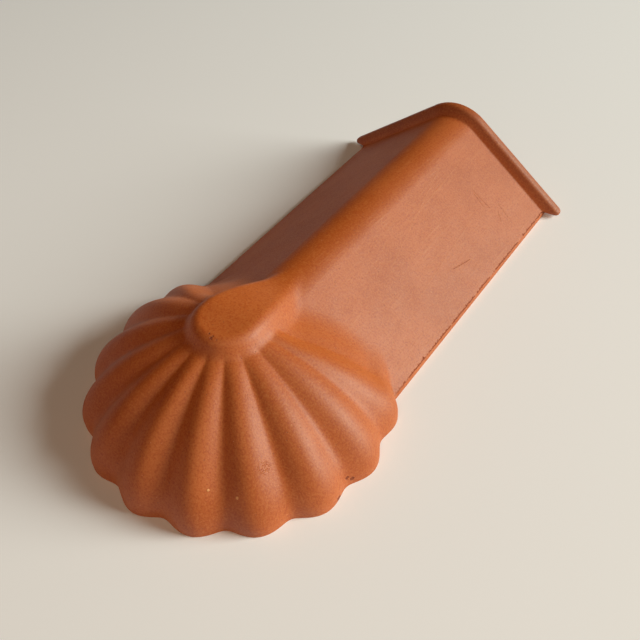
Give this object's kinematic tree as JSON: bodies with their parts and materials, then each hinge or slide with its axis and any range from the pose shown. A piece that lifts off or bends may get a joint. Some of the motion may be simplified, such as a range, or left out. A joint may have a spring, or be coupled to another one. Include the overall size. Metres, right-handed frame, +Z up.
{
  "type": "shell-ended ridge tile",
  "caption": "Terracotta ridge or hip end tile: an angular hollow body with a raised collar at one end and a ribbed scallop shell with a teardrop knob at the other.",
  "frame": {"origin": "middle of the bounding box at the plane of the lower edges the tile rests on", "axes": "+Y runs along the crest from the shell to the collar, +X across the tile, +Z up"},
  "size_m": [0.266, 0.5, 0.101],
  "materials": {
    "fired_clay": "matte unglazed terracotta, fine sandy grain"
  },
  "bodies": {
    "root": {"ridge_tile": "fired_clay"}
  },
  "joints": []
}
